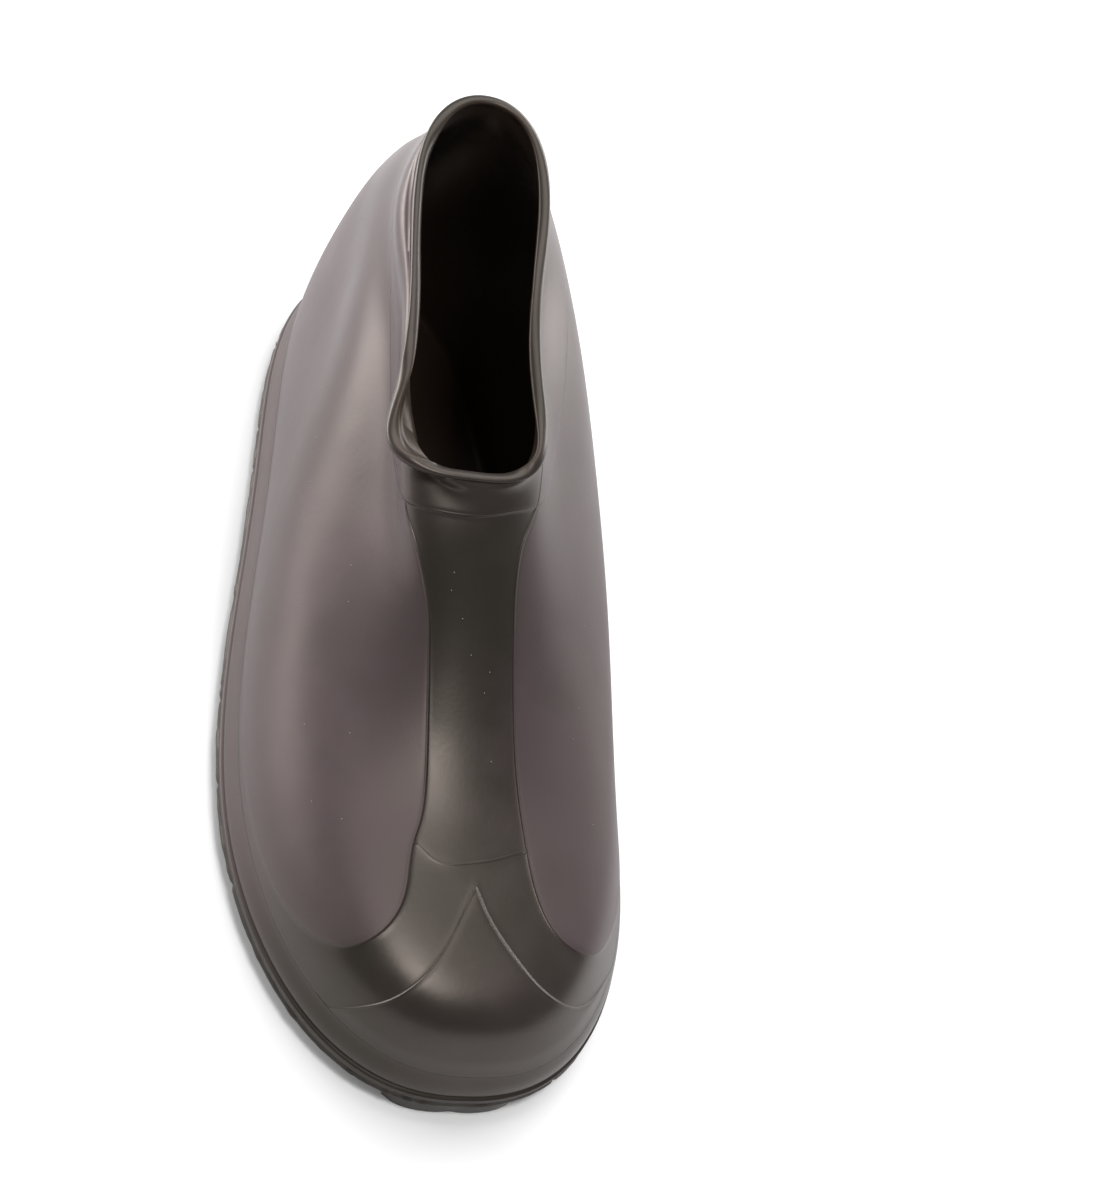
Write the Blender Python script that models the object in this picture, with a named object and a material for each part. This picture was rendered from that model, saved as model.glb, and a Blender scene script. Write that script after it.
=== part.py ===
"""A moulded rubber overshoe for the right foot, standing on its sole.

Metres, +Z up, toe towards -Y, inner (big toe) side towards +X.
Three solids: the upper (a hollow boot with its own floor), the foxing band that wraps
its lower edge and carries the kick-off ledge, and the outsole with its tread.
The wall of the upper runs through tilted rings, from the feather edge above the foxing
to the rim of the opening; a table gives one row for each ring.
"""
from collections import namedtuple
from math import cos, pi, sin

import bmesh
import bpy
import numpy as np


# Overall sizes
SOLE_LENGTH = 0.313        # over the trim line, toe to heel
SOLE_WIDTH = 0.127         # over the trim line, across the ball of the foot
RIM_FRONT_HEIGHT = 0.111   # floor to the rim above the instep
RIM_BACK_HEIGHT = 0.138    # floor to the rim above the heel

# Sole heights
TREAD_DEPTH = 0.0058       # floor to the underside of the outsole plate
PLATE_THICKNESS = 0.0040
FOXING_HEIGHT = 0.0096
GAP = 0.0003               # between neighbouring solids

# Walls
WALL = 0.0022
FLOOR_THICKNESS = 0.0026
BASE_INSET = 0.0010        # how far the wall leans in from the feather edge to its base
FLOOR_FILLET = 0.0030      # radius where the inner wall meets the floor
TRIM_REACH = 0.0040        # trim line of the outsole, beyond the feather edge

# Rim bead and collar band
BEAD_RADIUS = 0.0015
BEAD_RATIO = 1.25          # the bead's width over its height
BAND_DEPTH = 0.0210        # height of the band below the rim bead
BAND_RELIEF = 0.0008       # how far the band stands proud of the wall

# Kick-off ledge behind the heel
LEDGE_HALF_WIDTH = 0.15 * SOLE_WIDTH
LEDGE_REACH = 0.0070
LEDGE_LOW = 0.0010         # above the base of the foxing
LEDGE_THICKNESS = 0.0032
LEDGE_ROUNDING = 0.0003

# Tread; its plan follows the length and width of the sole
CLEAT_COUNT = 7                       # along each edge of the forefoot
CLEAT_PITCH = 0.051 * SOLE_LENGTH
FIRST_CLEAT_Y = 2.0 * CLEAT_PITCH     # nearest the waist, in front of the sole's middle
CLEAT_WIDTH = 0.63 * CLEAT_PITCH
CLEAT_LENGTH = 0.236 * SOLE_WIDTH
CLEAT_EDGE_INSET = 0.0050             # cleat ends, inside the trim line
CLEAT_SINK = 0.0012                   # how far a lug reaches up into the plate
BLOCK_LENGTH = 0.205 * SOLE_WIDTH     # the faceted block at the waist end of each row
BLOCK_WIDTH = 0.75 * CLEAT_PITCH
STUD_LENGTH = 0.158 * SOLE_WIDTH      # middle studs, across the shoe
STUD_WIDTH = 0.53 * CLEAT_PITCH
TOE_LUG_WIDTH = 0.378 * SOLE_WIDTH
TOE_LUG_DEPTH = 0.81 * CLEAT_PITCH
TOE_LUG_INSET = 0.0006                # its front, inside the trim line
LUG_TAPER = 0.0008                    # how far upright lugs draw in towards the floor
HEEL_LENGTH = 0.307 * SOLE_LENGTH     # heel block, from its back edge to the breast
HEEL_INSET = 0.0050                   # heel block, inside the trim line
GROOVE_COUNT = 4
GROOVE_WIDTH = 0.052 * HEEL_LENGTH
GROOVE_DEPTH = 0.62 * TREAD_DEPTH

# Mesh fineness
AROUND = 60
BEAD_STEPS = 8

PLATE_TOP = TREAD_DEPTH + PLATE_THICKNESS
FOXING_BASE = PLATE_TOP + GAP
FEATHER_HEIGHT = FOXING_BASE + FOXING_HEIGHT + GAP
UPPER_BASE = PLATE_TOP + GAP

# One row for each ring of the wall. Rise runs from the feather edge (0) to the rim (1);
# y is a share of SOLE_LENGTH; half-widths and swings (sideways, + inwards) are shares
# of SOLE_WIDTH; round is the power that rounds the ring's ends (1 is an ellipse).
Ring = namedtuple(
    "Ring",
    "t front_y front_rise back_y back_rise heel waist middle ball toe swing_mid swing_toe round",
)
RINGS = (
    Ring(0.00, -0.490, 0.000, 0.484, 0.000, 0.419, 0.354, 0.420, 0.532, 0.598, -0.010, 0.060, 0.85),
    Ring(0.12, -0.475, 0.137, 0.489, 0.137, 0.414, 0.356, 0.414, 0.496, 0.552, -0.008, 0.038, 0.85),
    Ring(0.28, -0.431, 0.256, 0.487, 0.316, 0.400, 0.347, 0.408, 0.437, 0.487, 0.010, 0.030, 0.90),
    Ring(0.45, -0.284, 0.366, 0.465, 0.537, 0.366, 0.318, 0.368, 0.370, 0.394, 0.024, 0.014, 0.95),
    Ring(0.65, -0.135, 0.640, 0.429, 0.733, 0.299, 0.280, 0.286, 0.260, 0.305, 0.026, -0.013, 0.95),
    Ring(0.83, -0.063, 0.854, 0.398, 0.860, 0.247, 0.228, 0.199, 0.206, 0.276, 0.006, -0.049, 0.90),
    Ring(0.93, -0.036, 0.945, 0.380, 0.949, 0.225, 0.202, 0.165, 0.197, 0.276, -0.034, -0.048, 0.91),
    Ring(1.00, -0.028, 1.000, 0.380, 1.000, 0.240, 0.172, 0.157, 0.188, 0.334, -0.015, -0.094, 0.54),
)
BACK_POWER = 0.95                         # that power at the back of every ring
STATIONS = (0.0, 0.30, 0.52, 0.76, 1.0)   # heel, waist, middle, ball, toe

# Rows of the solid on the wall, as t
OUTER_ROWS = (0.0, 0.05, 0.11, 0.17, 0.23, 0.30, 0.38, 0.46, 0.55, 0.64, 0.72)
INNER_ROWS = (0.94, 0.86, 0.78, 0.69, 0.60, 0.51, 0.43, 0.35, 0.28, 0.21, 0.14, 0.08)

# Outer face of the foxing, bottom to top: a bead, a groove, then a plain band that
# leans in to meet the wall.
# Reach is a share of TRIM_REACH beyond the feather edge, height a share of FOXING_HEIGHT.
EdgePoint = namedtuple("EdgePoint", "reach height")
FOXING_FACE = (
    EdgePoint(0.84, 0.00),
    EdgePoint(0.88, 0.09),
    EdgePoint(0.80, 0.18),
    EdgePoint(0.62, 0.26),
    EdgePoint(0.60, 0.34),
    EdgePoint(0.61, 0.48),
    EdgePoint(0.54, 0.64),
    EdgePoint(0.42, 0.80),
    EdgePoint(0.30, 0.92),
    EdgePoint(0.20, 1.00),
)

# Edge of the outsole plate, bottom to top; the trim line is its outermost point
PLATE_EDGE = (
    EdgePoint(0.55, 0.00),
    EdgePoint(0.97, 0.10),
    EdgePoint(1.00, 0.20),
    EdgePoint(0.95, 0.30),
    EdgePoint(0.80, 0.42),
    EdgePoint(0.82, 0.62),
    EdgePoint(0.88, 0.80),
    EdgePoint(0.84, 1.00),
)

# Half of a cleat's section: share of its half-width, and share of its depth
CLEAT_SECTION = ((1.0, 1.0), (0.90, 0.50), (0.62, 0.14), (0.30, 0.0))


def natural_spline(knots, values, x):
    """Cubic spline through values at knots, with free ends, read at x."""
    knots = np.asarray(knots, float)
    values = np.asarray(values, float)
    x = np.atleast_1d(np.asarray(x, float))
    step = np.diff(knots)
    count = len(knots)
    matrix = np.eye(count)
    right = np.zeros_like(values)
    shape = (-1,) + (1,) * (values.ndim - 1)
    slope = np.diff(values, axis=0) / step.reshape(shape)
    for i in range(1, count - 1):
        matrix[i, i - 1:i + 2] = step[i - 1], 2 * (step[i - 1] + step[i]), step[i]
        right[i] = 6 * (slope[i] - slope[i - 1])
    bend = np.linalg.solve(matrix, right.reshape(count, -1)).reshape(values.shape)
    k = np.clip(np.searchsorted(knots, x) - 1, 0, count - 2)
    h = step[k].reshape(shape)
    a = (knots[k + 1] - x).reshape(shape) / h
    b = (x - knots[k]).reshape(shape) / h
    curve = ((a**3 - a) * bend[k] + (b**3 - b) * bend[k + 1]) * h**2 / 6
    return a * values[k] + b * values[k + 1] + curve


def ring_points(ring, angles):
    """Points of one ring; angle 0 is the back, pi the front, outer side first."""
    share = (1 - np.cos(angles)) / 2
    widths = (ring.heel, ring.waist, ring.middle, ring.ball, ring.toe)
    half = natural_spline(STATIONS, widths, share) * SOLE_WIDTH
    side = np.sin(angles)
    power = BACK_POWER + (ring.round - BACK_POWER) * share
    swing = ring.swing_mid * np.sin(pi * share) + ring.swing_toe * share**2
    x = swing * SOLE_WIDTH - np.sign(side) * half * np.abs(side) ** power
    y = (ring.back_y + (ring.front_y - ring.back_y) * share) * SOLE_LENGTH
    front_z = FEATHER_HEIGHT + ring.front_rise * (RIM_FRONT_HEIGHT - FEATHER_HEIGHT)
    back_z = FEATHER_HEIGHT + ring.back_rise * (RIM_BACK_HEIGHT - FEATHER_HEIGHT)
    z = back_z + (front_z - back_z) * share
    return np.stack([x, y, z], axis=-1)


def wall(angles, t, offset=0.0):
    """Points of the wall at height t, moved outwards by offset along the surface normal."""
    step = 1e-3
    knots = [ring.t for ring in RINGS]

    def sheet(turn, height):
        rings = np.array([ring_points(ring, turn) for ring in RINGS])
        return natural_spline(knots, rings, [height])[0]

    points = sheet(angles, t)
    if offset == 0.0:
        return points
    along = sheet(angles + step, t) - sheet(angles - step, t)
    up = sheet(angles, min(t + step, 1.0)) - sheet(angles, max(t - step, 0.0))
    normal = np.cross(along, up)
    normal /= np.linalg.norm(normal, axis=1, keepdims=True)
    return points + normal * offset


def plan_outline(angles, reach, z):
    """The feather edge seen from above, moved outwards by reach, at height z."""
    edge = ring_points(RINGS[0], angles)
    step = 1e-3
    along = ring_points(RINGS[0], angles + step) - ring_points(RINGS[0], angles - step)
    out = np.stack([along[:, 1], -along[:, 0]], axis=-1)
    out /= np.linalg.norm(out, axis=1, keepdims=True)
    flat = edge[:, :2] + out * reach
    return np.column_stack([flat, np.full(len(angles), z)])


def turn_angles():
    """Angles round the shoe, half a step off the centre line so that no point sits on it."""
    return (np.arange(AROUND) + 0.5) * 2 * pi / AROUND


def new_object(name, bm, material):
    bmesh.ops.recalc_face_normals(bm, faces=bm.faces)
    if bm.calc_volume(signed=True) < 0:
        bmesh.ops.reverse_faces(bm, faces=bm.faces)
    mesh = bpy.data.meshes.new(name)
    bm.to_mesh(mesh)
    bm.free()
    mesh.materials.append(material)
    mesh.shade_smooth()
    mesh.set_sharp_from_angle(angle=pi / 5)
    item = bpy.data.objects.new(name, mesh)
    bpy.context.scene.collection.objects.link(item)
    return item


def skin(bm, loops, closed_section):
    """Joins loops of equal length with quads; caps the ends unless the section closes."""
    rows = [[bm.verts.new(point) for point in loop] for loop in loops]
    count = len(rows[0])
    pairs = list(zip(rows, rows[1:]))
    if closed_section:
        pairs.append((rows[-1], rows[0]))
    for low, high in pairs:
        for i in range(count):
            j = (i + 1) % count
            bm.faces.new((low[i], low[j], high[j], high[i]))
    if not closed_section:
        bm.faces.new(rows[0])
        bm.faces.new(rows[-1])


def rubber(name, colour, roughness):
    material = bpy.data.materials.new(name)
    material.use_nodes = True
    shader = material.node_tree.nodes["Principled BSDF"]
    shader.inputs["Base Color"].default_value = (*colour, 1.0)
    shader.inputs["Roughness"].default_value = roughness
    shader.inputs["Metallic"].default_value = 0.0
    return material


def wall_height_per_t():
    """Length of wall for one unit of t, near the rim, averaged round the shoe."""
    angles = turn_angles()
    reach = 0.1
    rise = wall(angles, 1.0) - wall(angles, 1.0 - reach)
    return float(np.linalg.norm(rise, axis=1).mean()) / reach


def make_upper():
    angles = turn_angles()
    per_t = wall_height_per_t()
    bead_t = 1.0 - BEAD_RADIUS / per_t
    band_t = 1.0 - (2 * BEAD_RADIUS + BAND_DEPTH) / per_t
    edge_t = BAND_RELIEF / per_t
    loops = [plan_outline(angles, -BASE_INSET, UPPER_BASE)]
    for t in OUTER_ROWS:
        loops.append(wall(angles, t))
    loops.append(wall(angles, band_t - edge_t))
    loops.append(wall(angles, band_t, BAND_RELIEF))
    loops.append(wall(angles, (band_t + bead_t) / 2, BAND_RELIEF))
    loops.append(wall(angles, 1.0 - 2.2 * BEAD_RADIUS / per_t, BAND_RELIEF))
    for i in range(BEAD_STEPS + 1):
        turn = -pi / 4 + (pi * 1.5) * i / BEAD_STEPS
        height = bead_t + BEAD_RADIUS * sin(turn) / per_t
        loops.append(wall(angles, height, BEAD_RATIO * BEAD_RADIUS * cos(turn) - WALL / 2))
    for t in INNER_ROWS:
        loops.append(wall(angles, t, -WALL))
    floor = UPPER_BASE + FLOOR_THICKNESS
    inset = -BASE_INSET - WALL
    loops.append(plan_outline(angles, inset, floor + FLOOR_FILLET))
    loops.append(plan_outline(angles, inset - 0.3 * FLOOR_FILLET, floor + 0.3 * FLOOR_FILLET))
    loops.append(plan_outline(angles, inset - FLOOR_FILLET, floor))
    bm = bmesh.new()
    skin(bm, loops, closed_section=False)
    return new_object("upper", bm, rubber("upper_rubber", (0.030, 0.027, 0.028), 0.42))


def ledge_push(points):
    """How far each point of the foxing moves back to form the kick-off ledge."""
    share = 1 - (points[:, 0] / LEDGE_HALF_WIDTH) ** 2
    behind = points[:, 1] > 0
    return np.where(behind, LEDGE_REACH * np.sqrt(np.clip(share, 0, 1)), 0.0)


def foxing_rows():
    """Outer rows of the foxing as height, reach and share of the ledge, bottom to top."""
    ledge_high = LEDGE_LOW + LEDGE_THICKNESS
    ledge = {
        LEDGE_LOW - LEDGE_ROUNDING: 0.0,
        LEDGE_LOW: 0.94,
        LEDGE_LOW + LEDGE_ROUNDING: 1.0,
        ledge_high - LEDGE_ROUNDING: 1.0,
        ledge_high: 0.94,
        ledge_high + LEDGE_ROUNDING: 0.0,
    }
    levels = [point.height * FOXING_HEIGHT for point in FOXING_FACE]
    reaches = [point.reach * TRIM_REACH for point in FOXING_FACE]
    plain = [level for level in levels if min(abs(level - mark) for mark in ledge) > LEDGE_ROUNDING]
    heights = sorted([*ledge, *plain])
    shares = np.interp(heights, list(ledge), list(ledge.values()), left=0.0, right=0.0)
    return zip(heights, np.interp(heights, levels, reaches), shares)


def make_foxing():
    angles = turn_angles()
    high = FOXING_BASE + FOXING_HEIGHT
    loops = [plan_outline(angles, GAP, high), plan_outline(angles, GAP - BASE_INSET, FOXING_BASE)]
    for height, reach, share in foxing_rows():
        loop = plan_outline(angles, reach, FOXING_BASE + height)
        loop[:, 1] += share * ledge_push(loop)
        loops.append(loop)
    bm = bmesh.new()
    skin(bm, loops, closed_section=True)
    return new_object("foxing", bm, rubber("foxing_rubber", (0.024, 0.022, 0.023), 0.48))


def plate_solid():
    angles = turn_angles()
    loops = []
    for point in PLATE_EDGE:
        z = TREAD_DEPTH + point.height * PLATE_THICKNESS
        loops.append(plan_outline(angles, point.reach * TRIM_REACH, z))
    bm = bmesh.new()
    skin(bm, loops, closed_section=False)
    return new_object("outsole", bm, rubber("outsole_rubber", (0.020, 0.019, 0.019), 0.55))


def outline_x(y, reach):
    """Where the outline, moved outwards by reach, crosses y: outer side, inner side."""
    fine = (np.arange(720) + 0.5) * 2 * pi / 720
    outline = plan_outline(fine, reach, 0.0)
    half = len(fine) // 2
    outer = outline[:half]
    inner = outline[half:]
    outer_x = np.interp(-y, -outer[:, 1], outer[:, 0])
    inner_x = np.interp(y, inner[:, 1], inner[:, 0])
    return float(outer_x), float(inner_x)


def outline_y(x, reach):
    """Where the toe's outline, moved outwards by reach, crosses x."""
    fine = pi * 0.72 + np.arange(400) * (pi * 0.56) / 399
    outline = plan_outline(fine, reach, 0.0)
    return float(np.interp(x, outline[:, 0], outline[:, 1]))


def add_bar(bm, x_start, x_end, y):
    """A half-round cleat across the shoe, its lower edge worn flat."""
    half = CLEAT_WIDTH / 2
    top = TREAD_DEPTH + CLEAT_SINK
    front = [(-across * half, depth * TREAD_DEPTH) for across, depth in CLEAT_SECTION]
    back = [(-across, z) for across, z in reversed(front)]
    section = [(-half, top), *front, *back, (half, top)]
    start = [(x_start, y + across, z) for across, z in section]
    end = [(x_end, y + across, z) for across, z in section]
    skin(bm, [start, end], closed_section=False)


def add_lug(bm, outline):
    """An upright lug with the given outline at the plate, drawn in towards the floor."""
    points = np.asarray(outline, float)
    spoke = points - points.mean(axis=0)
    low = points - spoke / np.linalg.norm(spoke, axis=1, keepdims=True) * LUG_TAPER
    at_floor = [(x, y, 0.0) for x, y in low]
    in_plate = [(x, y, TREAD_DEPTH + CLEAT_SINK) for x, y in points]
    skin(bm, [at_floor, in_plate], closed_section=False)


def hexagon(x, y, length, width):
    """A long hexagon across the shoe, its ends pointed at about 45 degrees."""
    half = length / 2
    side = width / 2
    tip = half - side * 0.8
    return ((x - half, y), (x - tip, y - side), (x + tip, y - side),
            (x + half, y), (x + tip, y + side), (x - tip, y + side))


def block(edge_x, y, inwards):
    """A block at the edge of the sole with its two inner corners cut off."""
    side = BLOCK_WIDTH / 2
    corner = edge_x + inwards * (BLOCK_LENGTH - side)
    far = edge_x + inwards * BLOCK_LENGTH
    return ((edge_x, y - side), (corner, y - side), (far, y - side / 2),
            (far, y + side / 2), (corner, y + side), (edge_x, y + side))


def toe_lug():
    """A faceted lug at the tip of the toe, its front following the trim line."""
    reach = TRIM_REACH - TOE_LUG_INSET
    outline = plan_outline(turn_angles(), reach, 0.0)
    middle = float(outline[np.argmin(outline[:, 1]), 0])
    half = TOE_LUG_WIDTH / 2
    front = [(middle + k * half, outline_y(middle + k * half, reach)) for k in (-1, -0.5, 0, 0.5, 1)]
    back = max(front[0][1], front[-1][1]) + 0.4 * TOE_LUG_DEPTH
    return (*front, (middle + 0.8 * half, back), (middle - 0.8 * half, back))


def heel_breast():
    """Where the front face of the heel block stands."""
    outline = plan_outline(turn_angles(), TRIM_REACH - HEEL_INSET, 0.0)
    return float(outline[:, 1].max()) - HEEL_LENGTH


def heel_outline():
    """The heel block: the back of the outline, closed by a straight breast."""
    reach = TRIM_REACH - HEEL_INSET
    outline = plan_outline(turn_angles(), reach, 0.0)
    breast = heel_breast()
    outer_x, inner_x = outline_x(breast, reach)
    half = AROUND // 2
    outer = [(x, y) for x, y, _ in outline[:half] if y > breast]
    inner = [(x, y) for x, y, _ in outline[half:] if y > breast]
    return outer + [(outer_x, breast), (inner_x, breast)] + inner


def make_lugs():
    bm = bmesh.new()
    reach = TRIM_REACH - CLEAT_EDGE_INSET
    for i in range(CLEAT_COUNT):
        y = -FIRST_CLEAT_Y - i * CLEAT_PITCH
        outer_x, inner_x = outline_x(y - CLEAT_WIDTH / 3, reach)
        add_bar(bm, outer_x, outer_x + CLEAT_LENGTH, y)
        add_bar(bm, inner_x - CLEAT_LENGTH, inner_x, y)
        add_lug(bm, hexagon((outer_x + inner_x) / 2, y, STUD_LENGTH, STUD_WIDTH))
    y = -FIRST_CLEAT_Y + CLEAT_PITCH + (BLOCK_WIDTH - CLEAT_WIDTH) / 2
    outer_x, inner_x = outline_x(y, reach)
    add_lug(bm, block(outer_x, y, 1))
    add_lug(bm, block(inner_x, y, -1))
    add_lug(bm, toe_lug())
    add_lug(bm, heel_outline())
    return new_object("lug_guide", bm, rubber("guide", (0.5, 0.5, 0.5), 0.5))


def make_grooves():
    """Boxes that cut the heel block's underside crosswise."""
    bm = bmesh.new()
    pitch = HEEL_LENGTH / (GROOVE_COUNT + 1)
    half = GROOVE_WIDTH / 2
    for i in range(GROOVE_COUNT):
        y = heel_breast() + (i + 1) * pitch
        corners = ((-1, -half), (1, -half), (1, half), (-1, half))
        low, high = [
            [(side * SOLE_WIDTH, y + along, z) for side, along in corners]
            for z in (-GROOVE_DEPTH, GROOVE_DEPTH)
        ]
        skin(bm, [low, high], closed_section=False)
    return new_object("groove_guide", bm, rubber("guide", (0.5, 0.5, 0.5), 0.5))


def combine(item, other, operation):
    """Adds a Boolean of the other object, which stays as a hidden guide."""
    modifier = item.modifiers.new(other.name, "BOOLEAN")
    modifier.operation = operation
    modifier.object = other
    other.hide_render = True
    other.display_type = "WIRE"


def make_outsole():
    sole = plate_solid()
    lugs = make_lugs()
    grooves = make_grooves()
    combine(sole, lugs, "UNION")
    combine(sole, grooves, "DIFFERENCE")
    return sole, (lugs, grooves)


def centre_on_origin(items, guides):
    """Moves everything so that the box round the shoe is centred on the origin."""
    points = np.array([corner.co for item in items for corner in item.data.vertices])
    middle = (points.min(axis=0) + points.max(axis=0)) / 2
    for item in (*items, *guides):
        for vertex in item.data.vertices:
            vertex.co.x -= middle[0]
            vertex.co.y -= middle[1]


def main():
    for item in list(bpy.data.objects):
        bpy.data.objects.remove(item)
    upper = make_upper()
    foxing = make_foxing()
    outsole, guides = make_outsole()
    centre_on_origin((upper, foxing, outsole), guides)


main()
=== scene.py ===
from collections import namedtuple
from math import cos, pi, radians, sin

import bmesh
import bpy
import numpy as np
from mathutils import Matrix, Vector


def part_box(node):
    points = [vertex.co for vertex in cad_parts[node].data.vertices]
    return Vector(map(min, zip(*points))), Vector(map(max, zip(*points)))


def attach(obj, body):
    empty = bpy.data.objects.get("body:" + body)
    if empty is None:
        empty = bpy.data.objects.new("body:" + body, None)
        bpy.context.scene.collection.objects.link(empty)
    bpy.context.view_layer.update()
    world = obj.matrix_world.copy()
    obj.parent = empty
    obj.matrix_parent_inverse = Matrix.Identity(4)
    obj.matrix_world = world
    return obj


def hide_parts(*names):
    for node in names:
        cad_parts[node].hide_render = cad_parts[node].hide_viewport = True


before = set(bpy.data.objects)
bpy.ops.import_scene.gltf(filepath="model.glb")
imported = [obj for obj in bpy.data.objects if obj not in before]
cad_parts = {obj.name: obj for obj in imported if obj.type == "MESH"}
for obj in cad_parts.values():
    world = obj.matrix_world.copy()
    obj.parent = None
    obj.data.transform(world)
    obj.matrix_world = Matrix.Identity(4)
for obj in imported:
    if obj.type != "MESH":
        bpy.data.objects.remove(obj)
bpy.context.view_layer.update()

MM = 0.001

# Sizes shared with the CAD part
SOLE_LENGTH = 0.313
SOLE_WIDTH = 0.127
RIM_FRONT_HEIGHT = 0.111
RIM_BACK_HEIGHT = 0.138
TREAD_DEPTH = 0.0058
PLATE_THICKNESS = 0.0040
FOXING_HEIGHT = 0.0096
GAP = 0.0003
WALL = 0.0022
FLOOR_THICKNESS = 0.0026
BASE_INSET = 0.0010
FLOOR_FILLET = 0.0030
TRIM_REACH = 0.0040
BEAD_RADIUS = 0.0015
BEAD_RATIO = 1.25
BAND_RELIEF = 0.0008
LEDGE_HALF_WIDTH = 0.15 * SOLE_WIDTH
LEDGE_REACH = 0.0070
LEDGE_LOW = 0.0010
LEDGE_THICKNESS = 0.0032
CLEAT_COUNT = 7
CLEAT_PITCH = 0.051 * SOLE_LENGTH
FIRST_CLEAT_Y = 2.0 * CLEAT_PITCH
CLEAT_WIDTH = 0.63 * CLEAT_PITCH
CLEAT_LENGTH = 0.236 * SOLE_WIDTH
CLEAT_EDGE_INSET = 0.0050
CLEAT_SINK = 0.0012
BLOCK_LENGTH = 0.205 * SOLE_WIDTH
BLOCK_WIDTH = 0.75 * CLEAT_PITCH
STUD_LENGTH = 0.158 * SOLE_WIDTH
STUD_WIDTH = 0.53 * CLEAT_PITCH
TOE_LUG_WIDTH = 0.33 * SOLE_WIDTH  # narrower than the solid's, as the photograph shows
TOE_LUG_DEPTH = 0.81 * CLEAT_PITCH
TOE_LUG_INSET = 0.0006
LUG_TAPER = 0.0008
HEEL_LENGTH = 0.307 * SOLE_LENGTH
HEEL_INSET = 0.0050
GROOVE_COUNT = 4
GROOVE_WIDTH = 0.052 * HEEL_LENGTH
GROOVE_DEPTH = 0.62 * TREAD_DEPTH

PLATE_TOP = TREAD_DEPTH + PLATE_THICKNESS
FOXING_BASE = PLATE_TOP + GAP
UPPER_BASE = PLATE_TOP + GAP
FEATHER_HEIGHT = FOXING_BASE + FOXING_HEIGHT + GAP

# Relief on the upper
PANEL_RELIEF = 0.45        # millimetres, side panels above the vamp
TOE_RELIEF = 0.40
TONGUE_RELIEF = 0.12
LINE_RELIEF = 0.22         # the fine ridge along each edge
LINE_HALF_WIDTH = 0.60
SKIN_RELIEF = 0.020        # the fine grain of the mould
WAVE_RELIEF = 0.25         # slow unevenness of the rubber
RIM_GROOVE = 0.40          # hollow just below the rim bead

# Mesh fineness
AROUND = 440
WALL_ROWS = 156
INNER_ROWS = 34
BEAD_STEPS = 16

Ring = namedtuple(
    "Ring",
    "t front_y front_rise back_y back_rise heel waist middle ball toe swing_mid swing_toe round",
)
# Rings of the wall from the feather edge (t 0) to the rim (t 1), as shares of the sole's length,
# width and rim heights. They were fitted to the photograph's outline.
RINGS = (
    Ring(0.00, -0.490, 0.000, 0.484, 0.000, 0.419, 0.354, 0.420, 0.532, 0.598, -0.010, 0.060, 0.85),
    Ring(0.12, -0.475, 0.137, 0.489, 0.137, 0.414, 0.356, 0.414, 0.496, 0.552, -0.008, 0.038, 0.85),
    Ring(0.28, -0.431, 0.256, 0.487, 0.316, 0.400, 0.347, 0.408, 0.437, 0.487, 0.010, 0.030, 0.90),
    Ring(0.45, -0.284, 0.366, 0.465, 0.537, 0.366, 0.318, 0.368, 0.370, 0.394, 0.024, 0.014, 0.95),
    Ring(0.65, -0.135, 0.640, 0.429, 0.733, 0.299, 0.280, 0.286, 0.260, 0.305, 0.026, -0.013, 0.95),
    Ring(0.83, -0.063, 0.854, 0.398, 0.860, 0.247, 0.228, 0.199, 0.206, 0.276, 0.006, -0.049, 0.90),
    Ring(0.93, -0.036, 0.945, 0.380, 0.949, 0.225, 0.202, 0.165, 0.197, 0.276, -0.034, -0.048, 0.91),
    Ring(1.00, -0.028, 1.000, 0.380, 1.000, 0.240, 0.172, 0.157, 0.188, 0.334, -0.015, -0.094, 0.54),
)
BACK_POWER = 0.95
SAG_TURN = 147
SAG_SPREAD = 34
SAG_START = 0.84
SAG_MM = (1.5, 3.2, -4.2)  # along the line of sight, so the outline seen by the camera stays
STATIONS = (0.0, 0.30, 0.52, 0.76, 1.0)

EdgePoint = namedtuple("EdgePoint", "reach height")
# Faces of the band's foot and of the plate, as shares of the trim's reach and of their height.
# The scene's band starts with a low bead and a groove; the rest of it is a curve.
FOXING_FACE = (
    EdgePoint(0.86, 0.00),
    EdgePoint(0.83, 0.05),
    EdgePoint(0.60, 0.10),
    EdgePoint(0.50, 0.14),
    EdgePoint(0.62, 0.18),
    EdgePoint(0.64, 0.23),
)
PLATE_EDGE = (
    EdgePoint(0.55, 0.00),
    EdgePoint(0.97, 0.10),
    EdgePoint(1.00, 0.20),
    EdgePoint(0.95, 0.30),
    EdgePoint(0.80, 0.42),
    EdgePoint(0.82, 0.62),
    EdgePoint(0.88, 0.80),
    EdgePoint(0.84, 1.00),
)
CLEAT_SECTION = ((1.0, 1.0), (0.90, 0.50), (0.62, 0.14), (0.30, 0.0))

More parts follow.
